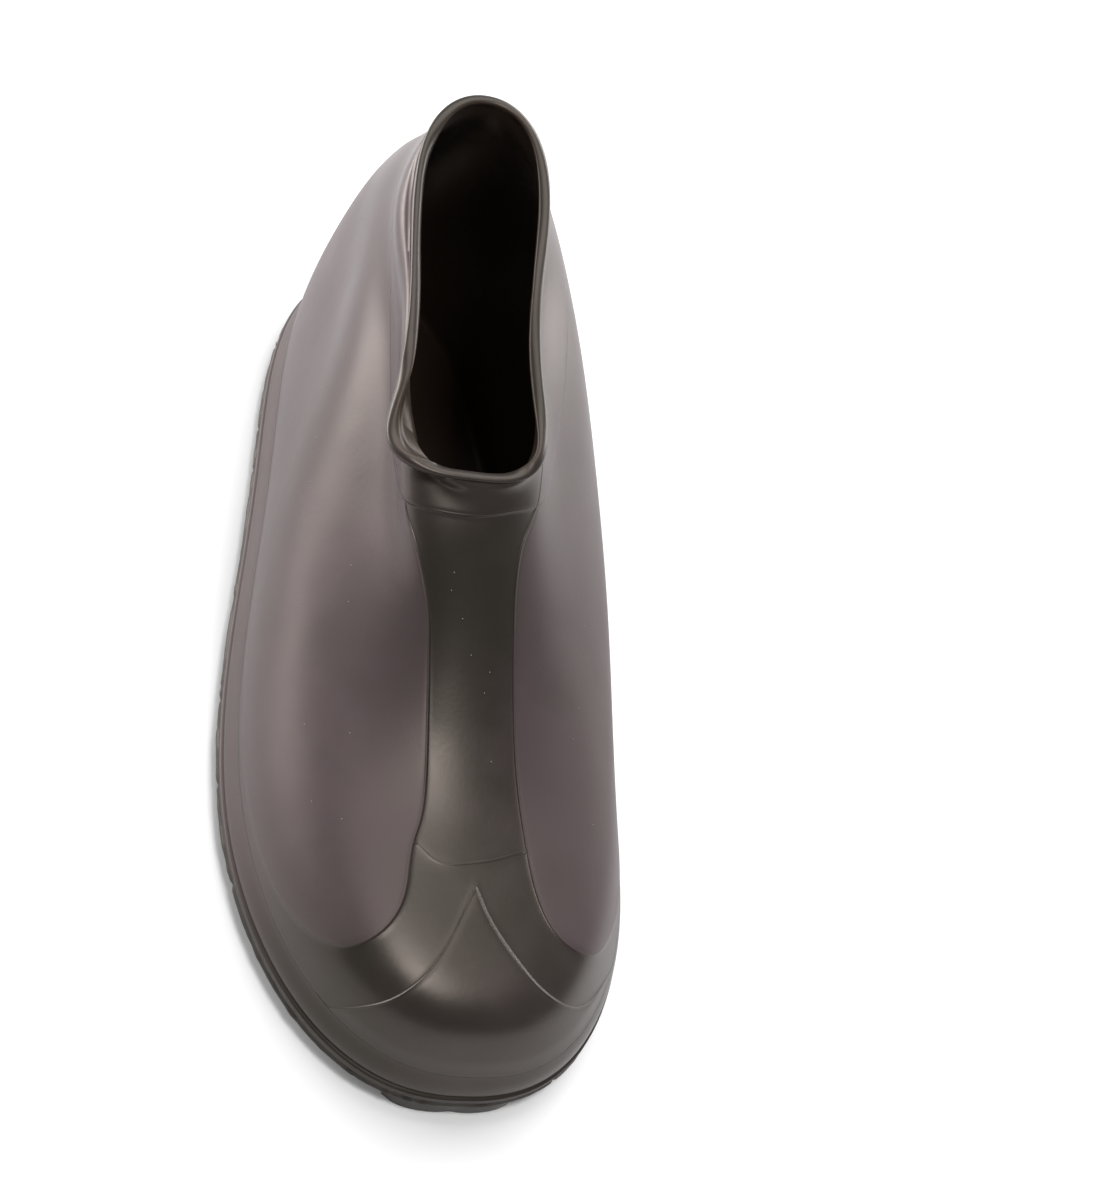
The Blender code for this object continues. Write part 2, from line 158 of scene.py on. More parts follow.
# Outlines of the relief on the wall, as turn round the shoe in degrees and wall height t.
# Turn 0 is the back, 90 the outer side, 180 the front, 270 the inner side.
OUTER_PANEL = (
    (126, 1.06), (128, 0.92), (136, 0.80), (145, 0.770), (151.5, 0.757), (158.5, 0.707), (161.5, 0.613),
    (164.5, 0.503), (164, 0.433), (162, 0.407), (160.5, 0.357), (157.5, 0.313), (153, 0.260),
    (148, 0.183), (142, 0.113), (134.5, 0.067), (126, 0.040), (117, 0.022), (100, 0.012),
    (70, 0.010), (40, 0.012), (24, 0.04), (17, 0.13), (15, 0.26), (16, 0.36), (18, 0.46),
    (20, 0.57), (23, 0.70), (25, 0.82), (26, 0.92), (26, 1.06),
)
INNER_PANEL = (
    (230, 1.06), (228, 0.92), (220, 0.83), (214.5, 0.803), (206, 0.777), (201, 0.722), (198.5, 0.623),
    (197.5, 0.543), (197, 0.473), (197.3, 0.423), (198, 0.370), (200.5, 0.323), (205, 0.275),
    (209.5, 0.225), (214, 0.165), (220, 0.105), (227, 0.060), (236, 0.030), (250, 0.015),
    (290, 0.010), (320, 0.012), (336, 0.04), (343, 0.13), (345, 0.26), (344, 0.36),
    (342, 0.46), (340, 0.57), (337, 0.70), (335, 0.82), (334, 0.92), (334, 1.06),
)
TOE_CAP_LEFT = (
    (147, -0.05), (150.5, 0.00), (154, 0.050), (159.5, 0.140), (164.5, 0.233), (169, 0.287),
    (173.5, 0.330), (177, 0.360), (180.5, 0.387),
)
TOE_CAP_RIGHT = (
    (180.5, 0.387), (182.8, 0.360), (186.5, 0.328), (190, 0.297), (193.5, 0.260), (198, 0.203),
    (202.5, 0.130), (208.5, 0.067), (215.5, 0.030), (221, -0.01), (226, -0.05),
)
TONGUE_END = (
    (156, 0.38), (163.0, 0.407), (167, 0.404), (171.5, 0.403), (179.5, 0.409), (186, 0.411),
    (190, 0.411), (196, 0.407), (203, 0.39),
)
BAND_LINE = (
    (0, 0.800), (30, 0.806), (61, 0.813), (84, 0.798), (101, 0.765), (112, 0.735), (121, 0.725),
    (130, 0.742), (140, 0.775), (154, 0.825), (168.5, 0.858), (182, 0.870), (198.5, 0.862),
    (210, 0.832), (219, 0.800), (230, 0.770), (244, 0.765), (262, 0.780), (290, 0.800),
    (325, 0.804), (360, 0.800),
)

# How crisp the edge lines are, as places along them (height t or turn) and strengths
PANEL_CRISP = ((0.0, 0.25, 0.42, 0.55), (0.25, 0.30, 0.75, 1.0))
TOE_CRISP = (
    (146, 152, 158, 165, 171, 177, 181, 184, 203, 211, 222),
    (0.10, 0.30, 0.90, 1.0, 0.45, 0.25, 0.80, 1.3, 1.2, 0.35, 0.15),
)
TONGUE_CRISP = 0.25
BAND_CRISP = ((90, 125, 142, 218, 235, 270), (0.25, 0.30, 0.80, 0.80, 0.30, 0.25))

# Where the side panels' bloom lies at the foot of the wall, as turns and shares
SIDE_SHARE = ((8, 22, 116, 150, 210, 244, 338, 352), (0, 1, 1, 0, 0, 1, 1, 0))
# How far the collar band stands out round the shoe, as turns and shares
BAND_STAND = ((80, 130, 230, 280), (0.60, 0.85, 0.85, 0.60))


def natural_spline(knots, values, x):
    """Cubic spline through values at knots, with free ends, read at x."""
    knots = np.asarray(knots, float)
    values = np.asarray(values, float)
    x = np.atleast_1d(np.asarray(x, float))
    step = np.diff(knots)
    count = len(knots)
    matrix = np.eye(count)
    right = np.zeros_like(values)
    shape = (-1,) + (1,) * (values.ndim - 1)
    slope = np.diff(values, axis=0) / step.reshape(shape)
    for i in range(1, count - 1):
        matrix[i, i - 1:i + 2] = step[i - 1], 2 * (step[i - 1] + step[i]), step[i]
        right[i] = 6 * (slope[i] - slope[i - 1])
    bend = np.linalg.solve(matrix, right.reshape(count, -1)).reshape(values.shape)
    k = np.clip(np.searchsorted(knots, x) - 1, 0, count - 2)
    h = step[k].reshape(shape)
    a = (knots[k + 1] - x).reshape(shape) / h
    b = (x - knots[k]).reshape(shape) / h
    curve = ((a**3 - a) * bend[k] + (b**3 - b) * bend[k + 1]) * h**2 / 6
    return a * values[k] + b * values[k + 1] + curve


def ring_points(ring, angles):
    """Points of one ring of the wall; angle 0 is the back, pi the front, outer side first."""
    share = (1 - np.cos(angles)) / 2
    widths = (ring.heel, ring.waist, ring.middle, ring.ball, ring.toe)
    half = natural_spline(STATIONS, widths, share) * SOLE_WIDTH
    side = np.sin(angles)
    power = BACK_POWER + (ring.round - BACK_POWER) * share
    swing = ring.swing_mid * np.sin(pi * share) + ring.swing_toe * share**2
    x = swing * SOLE_WIDTH - np.sign(side) * half * np.abs(side) ** power
    y = (ring.back_y + (ring.front_y - ring.back_y) * share) * SOLE_LENGTH
    front_z = FEATHER_HEIGHT + ring.front_rise * (RIM_FRONT_HEIGHT - FEATHER_HEIGHT)
    back_z = FEATHER_HEIGHT + ring.back_rise * (RIM_BACK_HEIGHT - FEATHER_HEIGHT)
    z = back_z + (front_z - back_z) * share
    return np.stack([x, y, z], axis=-1)


def corner_sag(angles, heights):
    """The soft lip droops a little at the outer front corner of the opening."""
    away = (np.degrees(angles) - SAG_TURN) / SAG_SPREAD
    window = np.clip(1 - away**2, 0, 1) ** 2
    share = smooth_step(np.asarray(heights, float), SAG_START, 1.0)
    return share[:, None, None] * window[None, :, None] * np.array(SAG_MM) * MM


def wall_grid(angles, heights):
    """Points of the wall and its outward normals, one row for each height t."""
    step = 1e-3
    knots = [ring.t for ring in RINGS]
    heights = np.asarray(heights, float)

    def sheet(turn, t):
        rings = np.array([ring_points(ring, turn) for ring in RINGS])
        return natural_spline(knots, rings, t) + corner_sag(turn, t)

    points = sheet(angles, heights)
    along = sheet(angles + step, heights) - sheet(angles - step, heights)
    up = sheet(angles, np.minimum(heights + step, 1)) - sheet(angles, np.maximum(heights - step, 0))
    normal = np.cross(along, up)
    return points, normal / np.linalg.norm(normal, axis=-1, keepdims=True)


def wall_points(degrees, heights):
    """Points of the wall, one for each pair of turn and height."""
    points = []
    for turn, t in zip(degrees, heights):
        grid, _ = wall_grid(np.array([radians(turn)]), [min(max(t, 0.0), 1.0)])
        points.append(grid[0, 0])
    return np.array(points)


def plan_outline(angles, reach, z):
    """The feather edge seen from above, moved outwards by reach, at height z."""
    edge = ring_points(RINGS[0], angles)
    step = 1e-3
    along = ring_points(RINGS[0], angles + step) - ring_points(RINGS[0], angles - step)
    out = np.stack([along[:, 1], -along[:, 0]], axis=-1)
    out /= np.linalg.norm(out, axis=1, keepdims=True)
    reach = np.asarray(reach, float).reshape(-1, 1) * np.ones((len(angles), 1))
    flat = edge[:, :2] + out * reach
    return np.column_stack([flat, np.full(len(angles), z)])


def turns(count):
    return (np.arange(count) + 0.5) * 2 * pi / count


def smooth_step(value, low, high):
    share = np.clip((value - low) / (high - low), 0, 1)
    return share * share * (3 - 2 * share)


def smooth_line(points, spacing=1.0):
    """A natural spline through (turn, t) points, read about every spacing degrees or so."""
    points = np.array(points, float)
    scale = np.array([1.0, 150.0])
    lengths = np.linalg.norm(np.diff(points * scale, axis=0), axis=1)
    knots = np.concatenate([[0], np.cumsum(lengths)])
    count = max(8, int(knots[-1] / spacing))
    return natural_spline(knots, points, np.linspace(0, knots[-1], count))


def distance_to_line(points, line):
    """Distance of each point from a polyline in space."""
    best = np.full(len(points), 1e9)
    start = line[:-1]
    leg = line[1:] - start
    square = np.maximum((leg**2).sum(axis=1), 1e-12)
    for first in range(0, len(points), 4000):
        block = points[first:first + 4000, None, :] - start[None]
        share = np.clip((block * leg[None]).sum(axis=2) / square, 0, 1)
        gap = block - share[..., None] * leg[None]
        best[first:first + 4000] = np.sqrt((gap**2).sum(axis=2).min(axis=1))
    return best


def inside_outline(turn, t, outline):
    """Whether each (turn, t) lies inside the closed outline."""
    x, y = outline[:, 0], outline[:, 1]
    next_x, next_y = np.roll(x, -1), np.roll(y, -1)
    result = np.zeros(len(turn), bool)
    for i in range(len(x)):
        if y[i] == next_y[i]:
            continue
        crosses = (y[i] > t) != (next_y[i] > t)
        at = x[i] + (t - y[i]) * (next_x[i] - x[i]) / (next_y[i] - y[i])
        result ^= crosses & (turn < at)
    return result


def edge_distance(turn, t, points, outline, edge, reach_mm=8.0):
    """Signed distance in millimetres to an edge line, positive inside the outline."""
    line = wall_points(edge[:, 0], edge[:, 1])
    low = edge[:, 1].min() - 0.08
    high = edge[:, 1].max() + 0.08
    near = (t > low) & (t < high)
    away = np.full(len(turn), reach_mm)
    away[near] = np.minimum(distance_to_line(points[near], line) / MM, reach_mm)
    return np.where(inside_outline(turn, t, outline), away, -away)


def closed_mesh(name, loops, close_section=False):
    """Joins loops of equal length with quads; caps the ends unless the section closes."""
    count = len(loops[0])
    rows = len(loops)
    points = np.concatenate(loops)
    column = np.arange(count)
    following = (column + 1) % count
    faces = []
    last = rows if close_section else rows - 1
    for row in range(last):
        low = row * count
        high = ((row + 1) % rows) * count
        quads = np.stack([low + column, low + following, high + following, high + column], axis=1)
        faces.extend(quads.tolist())
    if not close_section:
        faces.append(column.tolist()[::-1])
        faces.append((column + (rows - 1) * count).tolist())
    mesh = bpy.data.meshes.new(name)
    mesh.from_pydata(points.tolist(), [], faces)
    face_outwards(mesh)
    return mesh


def face_outwards(mesh):
    bm = bmesh.new()
    bm.from_mesh(mesh)
    bmesh.ops.recalc_face_normals(bm, faces=bm.faces)
    if bm.calc_volume(signed=True) < 0:
        bmesh.ops.reverse_faces(bm, faces=bm.faces)
    bm.to_mesh(mesh)
    bm.free()


def add_object(name, mesh, material, smooth_angle=40):
    if material.name not in mesh.materials:
        mesh.materials.append(material)
    mesh.shade_smooth()
    mesh.set_sharp_from_angle(angle=radians(smooth_angle))
    item = bpy.data.objects.new(name, mesh)
    bpy.context.scene.collection.objects.link(item)
    return item


def set_attribute(mesh, name, values):
    attribute = mesh.attributes.new(name, "FLOAT", "POINT")
    attribute.data.foreach_set("value", np.asarray(values, dtype=np.float32))


# Materials
def linear(hex_colour):
    """A colour written as sRGB hex, as linear values."""
    values = [int(hex_colour[i:i + 2], 16) / 255 for i in (1, 3, 5)]
    parts = [v / 12.92 if v <= 0.04045 else ((v + 0.055) / 1.055) ** 2.4 for v in values]
    return (*parts, 1.0)


def add_node(material, kind, links=(), **settings):
    """Adds a shader node; settings are properties or input values, links are (input, socket)."""
    node = material.node_tree.nodes.new(kind)
    for name, value in settings.items():
        if hasattr(node, name):
            setattr(node, name, value)
        else:
            node.inputs[name.replace("_", " ")].default_value = value
    for name, socket in links:
        material.node_tree.links.new(socket, node.inputs[name])
    return node


def math(material, operation, a, b=None):
    node = material.node_tree.nodes.new("ShaderNodeMath")
    node.operation = operation
    for i, value in enumerate((a, b)):
        if value is None:
            continue
        if isinstance(value, (int, float)):
            node.inputs[i].default_value = value
        else:
            material.node_tree.links.new(value, node.inputs[i])
    return node.outputs[0]


def ramp(material, value, low, high, to_low, to_high):
    """Smooth change from to_low to to_high as the value goes from low to high."""
    node = material.node_tree.nodes.new("ShaderNodeMapRange")
    node.interpolation_type = "SMOOTHSTEP"
    for i, number in ((1, low), (2, high), (3, to_low), (4, to_high)):
        node.inputs[i].default_value = number
    material.node_tree.links.new(value, node.inputs[0])
    return node.outputs[0]


def mix_colour(material, share, first, second):
    node = material.node_tree.nodes.new("ShaderNodeMix")
    node.data_type = "RGBA"
    colours = [s for s in node.inputs if s.type == "RGBA"]
    factor = next(s for s in node.inputs if s.type == "VALUE")
    material.node_tree.links.new(share, factor)
    for socket, value in zip(colours, (first, second)):
        if isinstance(value, tuple):
            socket.default_value = value
        else:
            material.node_tree.links.new(value, socket)
    return next(s for s in node.outputs if s.type == "RGBA")


def noise(material, position, size_mm, detail=3.0, roughness=0.5):
    """Noise whose blotches are about size_mm across, from 0 to 1."""
    node = add_node(
        material, "ShaderNodeTexNoise", [("Vector", position)],
        Scale=1000.0 / size_mm, Detail=detail, Roughness=roughness,
    )
    return node.outputs[0]


def rubber(name, main, tint, roughness, relief):
    """Moulded natural rubber, black-filled and dipped smooth: satin, faintly powdery with bloom."""
    material = bpy.data.materials.new(name)
    material.use_nodes = True
    shader = material.node_tree.nodes["Principled BSDF"]
    position = add_node(material, "ShaderNodeTexCoord").outputs["Object"]
    blotch = noise(material, position, 60, 2.0)
    cloud = noise(material, position, 14, 4.0, 0.6)
    peel = noise(material, position, 1.6, 2.0)
    wave = noise(material, position, 24, 1.0)

    # Bloom: wax that has come to the surface, in soft clouds
    clouds = math(material, "ADD", blotch, math(material, "MULTIPLY", cloud, 0.35))
    bloom = ramp(material, clouds, 0.50, 0.85, 0.0, 1.0)
    share = math(material, "MULTIPLY", bloom, 0.35)
    # The side panels carry more of it, and so does the foot of the wall below them
    side = add_node(material, "ShaderNodeAttribute", attribute_name="side").outputs["Fac"]
    if relief:
        panel = add_node(material, "ShaderNodeAttribute", attribute_name="panel_mm").outputs["Fac"]
        side = math(material, "MAXIMUM", side, ramp(material, panel, -0.3, 0.3, 0.0, 1.0))
    share = math(material, "ADD", share, math(material, "MULTIPLY", side, 0.75))
    colour = mix_colour(material, share, linear(main), linear(tint))
    if relief:
        # Painted light: the inside of the wall is the same rubber, given a lighter warm brown that
        # brightens the shaded inside of the opening
        inside = add_node(material, "ShaderNodeAttribute", attribute_name="inside").outputs["Fac"]
        colour = mix_colour(material, inside, colour, linear("#2e231c"))
    material.node_tree.links.new(colour, shader.inputs["Base Color"])

    # The dipped skin is evenly satin, a little glossier where hands have rubbed it
    gloss = math(material, "MULTIPLY", math(material, "SUBTRACT", cloud, 0.5), 0.10)
    base = math(material, "ADD", gloss, roughness)
    base = math(material, "ADD", base, math(material, "MULTIPLY", side, 0.14))
    if relief:
        rubbed = add_node(material, "ShaderNodeAttribute", attribute_name="height").outputs["Fac"]
        polish = math(material, "MULTIPLY", side, ramp(material, rubbed, 0.40, 0.62, 0.0, 0.12))
        base = math(material, "SUBTRACT", base, polish)
    material.node_tree.links.new(base, shader.inputs["Roughness"])
    shader.inputs["IOR"].default_value = 1.52
    shader.inputs["Specular Tint"].default_value = linear("#f4e6da")
    shader.inputs["Sheen Weight"].default_value = 0.06
    shader.inputs["Sheen Roughness"].default_value = 0.45
    shader.inputs["Sheen Tint"].default_value = linear("#d8d2cf")

    # Height in millimetres: mould texture, slight waviness and the relief edges
    skin = math(material, "MULTIPLY", peel, SKIN_RELIEF)
    height = math(material, "ADD", skin, math(material, "MULTIPLY", wave, WAVE_RELIEF))
    if relief:
        crisp = add_node(material, "ShaderNodeAttribute", attribute_name="crisp").outputs["Fac"]
        fade = math(material, "MULTIPLY", crisp, ramp(material, wave, 0.30, 0.55, 0.55, 1.0))
        for edge, rise in (("panel_mm", 0.22), ("toe_mm", 0.26), ("tongue_mm", 0.05), ("band_mm", 0.22)):
            away = add_node(material, "ShaderNodeAttribute", attribute_name=edge).outputs["Fac"]
            height = math(material, "ADD", height, ramp(material, away, -0.35, 0.35, 0.0, rise))
            gap = math(material, "ABSOLUTE", away)
            ridge = ramp(material, gap, 0.0, LINE_HALF_WIDTH, LINE_RELIEF, 0.0)
            height = math(material, "ADD", height, math(material, "MULTIPLY", ridge, fade))
    bump = add_node(material, "ShaderNodeBump", [("Height", height)], Strength=1.0, Distance=MM)
    material.node_tree.links.new(bump.outputs[0], shader.inputs["Normal"])
    return material


def plain(name, colour, roughness):
    material = bpy.data.materials.new(name)
    material.use_nodes = True
    shader = material.node_tree.nodes["Principled BSDF"]
    shader.inputs["Base Color"].default_value = linear(colour)
    shader.inputs["Roughness"].default_value = roughness
    return material


# Upper
def per_t():
    """Length of wall for one unit of t, near the rim, averaged round the shoe."""
    points, _ = wall_grid(turns(60), [0.9, 1.0])
    return float(np.linalg.norm(points[1] - points[0], axis=1).mean()) / 0.1


def side_share(turn):
    """1 along both sides of the shoe, falling to 0 at the toe and the heel."""
    return np.interp(turn, *SIDE_SHARE)


def make_upper(shift, material):
    angles = turns(AROUND)
    degrees = np.degrees(angles)
    length = per_t()
    bead_t = 1.0 - BEAD_RADIUS / length
    top_t = bead_t - 0.78 * BEAD_RADIUS / length
    heights = np.linspace(0.0, top_t, WALL_ROWS)
    points, normals = wall_grid(angles, heights)
    flat = points.reshape(-1, 3)
    turn = np.tile(degrees, WALL_ROWS)
    t = np.repeat(heights, AROUND)

    outer = smooth_line(OUTER_PANEL)
    inner = smooth_line(INNER_PANEL)
    left = smooth_line(TOE_CAP_LEFT)
    right = smooth_line(TOE_CAP_RIGHT)
    cap = np.concatenate([left, right])
    end = smooth_line(TONGUE_END)
    strip = np.concatenate([end, [(222, 0.60), (222, 0.97), (134, 0.97), (134, 0.60)]])
    band = smooth_line(BAND_LINE)
    band_zone = np.concatenate([band, [(360, 1.2), (0, 1.2)]])
    panel = np.maximum(
        edge_distance(turn, t, flat, outer, outer),
        edge_distance(turn, t, flat, inner, inner),
    )
    toe = edge_distance(turn, t, flat, cap, cap)
    tongue = np.minimum(edge_distance(turn, t, flat, strip, end), -panel)
    collar = edge_distance(turn, t, flat, band_zone, band)
    # How crisp the nearest edge line is: some parts of the moulding lines are nearly worn away
    edges = np.abs(np.stack([panel, toe, tongue, collar]))
    strengths = np.stack([
        np.interp(t, *PANEL_CRISP) * np.interp(collar, (-2, 0), (1, 0)),
        np.interp(turn, *TOE_CRISP),
        np.full(len(t), TONGUE_CRISP),
        np.interp(turn, *BAND_CRISP),
    ])
    crisp = np.take_along_axis(strengths, edges.argmin(axis=0)[None], axis=0)[0]

    rise =PANEL_RELIEF * smooth_step(panel, -1.2, 1.2) + TOE_RELIEF * smooth_step(toe, -1.2, 1.2)
    rise += TONGUE_RELIEF * smooth_step(tongue, -1.2, 1.2)
    # The collar band stands out at the front and nearly dies away round the sides
    stand = BAND_RELIEF / MM * np.interp(turn, *BAND_STAND)
    rise = np.maximum(rise, stand * smooth_step(collar, -1.2, 0.9))
    rise *= smooth_step(t * length / MM, 0.0, 6.0)
    # A shallow groove just below the rim bead
    below = (top_t - t) * length / MM
    rise -= RIM_GROOVE * np.exp(-((below - 0.6) / 0.7) ** 2)
    outside = points + normals * (rise * MM).reshape(WALL_ROWS, AROUND, 1)

    loops = [plan_outline(angles, -BASE_INSET, UPPER_BASE)]
    loops.extend(outside)
    for i in range(BEAD_STEPS + 1):
        turn_of_bead = -pi / 4 + (pi * 1.5) * i / BEAD_STEPS
        height = bead_t + 0.95 * BEAD_RADIUS * sin(turn_of_bead) / length
        offset = BEAD_RATIO * BEAD_RADIUS * cos(turn_of_bead) - WALL / 2
        grid, normal = wall_grid(angles, [height])
        loops.append(grid[0] + normal[0] * offset)
    grid, normal = wall_grid(angles, np.linspace(0.965, 0.08, INNER_ROWS))
    loops.extend(grid - normal * WALL)
    floor = UPPER_BASE + FLOOR_THICKNESS
    inset = -BASE_INSET - WALL
    for k in np.linspace(0, pi / 2, 5):
        reach = inset - FLOOR_FILLET * (1 - cos(k))
        loops.append(plan_outline(angles, reach, floor + FLOOR_FILLET * (1 - sin(k))))
    loops = [loop + shift for loop in loops]
    mesh = closed_mesh("upper_skin", loops)

    count = len(mesh.vertices)
    outer_start = AROUND
    outer_end = outer_start + WALL_ROWS * AROUND
    for name, values in (("panel_mm", panel), ("toe_mm", toe), ("tongue_mm", tongue), ("band_mm", collar)):
        whole = np.full(count, -8.0)
        whole[outer_start:outer_end] = values
        if name == "band_mm":
            whole[outer_end:] = 8.0
        set_attribute(mesh, name, whole)
    for name, values in (("crisp", crisp), ("side", side_share(turn)), ("height", t)):
        whole = np.zeros(count)
        whole[outer_start:outer_end] = values
        set_attribute(mesh, name, whole)
    inside = np.zeros(count)
    inside[outer_end + (BEAD_STEPS // 2 + 3) * AROUND:] = 1.0
    set_attribute(mesh, "inside", inside)
    return add_object("upper_skin", mesh, material)


# Foxing band
def ledge_push(points):
    """How far each point of the foxing moves back to form the kick-off ledge."""
    share = 1 - (points[:, 0] / LEDGE_HALF_WIDTH) ** 2
    return np.where(points[:, 1] > 0, LEDGE_REACH * np.sqrt(np.clip(share, 0, 1)), 0.0)


def make_foxing(shift, material):
    """The band: a bead and groove at its foot, then a hollow curve that runs into the wall."""
    angles = turns(AROUND * 2)
    levels = np.array([p.height for p in FOXING_FACE]) * FOXING_HEIGHT
    reaches = np.array([p.reach for p in FOXING_FACE]) * TRIM_REACH
    wall, _ = wall_grid(angles, [0.0, 0.01])
    out = plan_outline(angles, 1.0, 0.0) - plan_outline(angles, 0.0, 0.0)
    climb = wall[1] - wall[0]
    lean = (climb * out).sum(axis=1) / climb[:, 2]
    foot = levels[-1]
    high = FOXING_HEIGHT + GAP - 0.04 * MM
    ledge_high = LEDGE_LOW + LEDGE_THICKNESS
    heights = [*np.linspace(0, foot, 12), *np.linspace(foot, high, 20)[1:], LEDGE_LOW, ledge_high]
    heights.extend([LEDGE_LOW + 0.1 * MM, LEDGE_LOW + 0.4 * MM])
    heights.extend([ledge_high - 0.4 * MM, ledge_high - 0.1 * MM])
    loops = [plan_outline(angles, 0.02 * MM, FOXING_BASE + FOXING_HEIGHT)]
    loops.append(plan_outline(angles, GAP - BASE_INSET, FOXING_BASE))
    for height in sorted(heights):
        if height <= foot:
            reach = np.full(len(angles), natural_spline(levels, reaches, height)[0])
        else:
            u = (height - foot) / (high - foot)
            start = (2 * u**3 - 3 * u**2 + 1) * reaches[-1]
            reach = start + (3 * u**2 - 2 * u**3) * 0.04 * MM + (u**3 - u**2) * (high - foot) * lean
        loop = plan_outline(angles, reach, FOXING_BASE + height)
        middle = (LEDGE_LOW + ledge_high) / 2
        away = abs(height - middle) - LEDGE_THICKNESS / 2
        share = 1 - smooth_step(away, -0.5 * MM, 0.1 * MM)
        loop[:, 1] += 0.985 * share * ledge_push(loop)
        loops.append(loop)
    mesh = closed_mesh("foxing_band", [loop + shift for loop in loops], close_section=True)
    set_attribute(mesh, "side", np.tile(side_share(np.degrees(angles)), len(loops)))
    return add_object("foxing_band", mesh, material)


# Outsole
def make_plate(shift, material):
    """The outsole plate; its trim line was cut by hand, so it wanders a little."""
    count = AROUND * 2
    angles = turns(count)
    rng = np.random.default_rng(11)
    ragged = np.zeros(count)
    for knots, size in ((40, 0.10), (150, 0.09), (330, 0.05)):
        values = rng.normal(0, size, knots)
        ragged += np.interp(angles, np.linspace(0, 2 * pi, knots + 1), [*values, values[0]])
    for place, depth in zip(rng.uniform(0, 2 * pi, 26), rng.uniform(0.15, 0.55, 26)):
        ragged -= depth * np.exp(-((angles - place) / 0.007) ** 2)
    ragged = (ragged - ragged.max()) * MM
    loops = []
    for point in PLATE_EDGE:
        wander = ragged if point.reach > 0.9 else 0.3 * ragged
        z = TREAD_DEPTH + point.height * PLATE_THICKNESS
        loops.append(plan_outline(angles, point.reach * TRIM_REACH + wander, z))
    mesh = closed_mesh("outsole_plate", [loop + shift for loop in loops])
    return add_object("outsole_plate", mesh, material, 50)


def outline_x(y, reach):
    """Where the outline, moved outwards by reach, crosses y: outer side, inner side."""
    outline = plan_outline(turns(720), reach, 0.0)
    outer = outline[:360]
    inner = outline[360:]
    outer_x = np.interp(-y, -outer[:, 1], outer[:, 0])
    inner_x = np.interp(y, inner[:, 1], inner[:, 0])
    return float(outer_x), float(inner_x)


def outline_y(x, reach):
    """Where the toe's outline, moved outwards by reach, crosses x."""
    fine = pi * 0.72 + np.arange(400) * (pi * 0.56) / 399
    outline = plan_outline(fine, reach, 0.0)
    return float(np.interp(x, outline[:, 0], outline[:, 1]))


def prism(name, outline, low_z, high_z, taper=0.0, soften=0.0):
    """An upright lug; drawn in towards the floor by taper, its lower edge rounded."""
    points = np.asarray(outline, float)
    spoke = points - points.mean(axis=0)
    unit = spoke / np.linalg.norm(spoke, axis=1, keepdims=True)
    loops = []
    steps = [(high_z, 0.0), (low_z + soften, taper)]
    if soften:
        steps.extend([(low_z + 0.3 * soften, taper + 0.3 * soften), (low_z, taper + soften)])
    for z, draw in steps:
        flat = points - unit * draw
        loops.append(np.column_stack([flat, np.full(len(flat), z)]))
    return closed_mesh(name, loops)


def half_round():
    """One edge cleat along +X from the origin, hanging down from the plate."""
    half = CLEAT_WIDTH / 2
    top = TREAD_DEPTH + CLEAT_SINK
    across, depth = np.array(CLEAT_SECTION).T
    fine = np.linspace(0, 1, 9)
    knots = np.linspace(0, 1, 4)
    side = natural_spline(knots, across, fine)
    drop = np.clip(natural_spline(knots, depth, fine), 0, 1)
    front = [(-a * half, d * TREAD_DEPTH) for a, d in zip(side, drop)]
    back = [(-a, z) for a, z in reversed(front)]
    section = np.array([(-half, top), *front, *back, (half, top)])
    loops = []
    for x, shrink in ((0, 0.90), (0.0004, 0.96), (0.0012, 1.0), (CLEAT_LENGTH - 0.003, 1.0),
                      (CLEAT_LENGTH - 0.001, 0.93), (CLEAT_LENGTH, 0.80)):
        lifted = top + (section[:, 1] - top) * shrink
        loops.append(np.column_stack([np.full(len(section), x), section[:, 0] * shrink, lifted]))
    return closed_mesh("edge_cleat_shape", loops)


def hexagon():
    half = STUD_LENGTH / 2
    side = STUD_WIDTH / 2
    tip = half - side * 0.8
    outline = ((-half, 0), (-tip, -side), (tip, -side), (half, 0), (tip, side), (-tip, side))
    return prism("stud_shape", outline, 0.0, TREAD_DEPTH + CLEAT_SINK, LUG_TAPER, 0.0004)


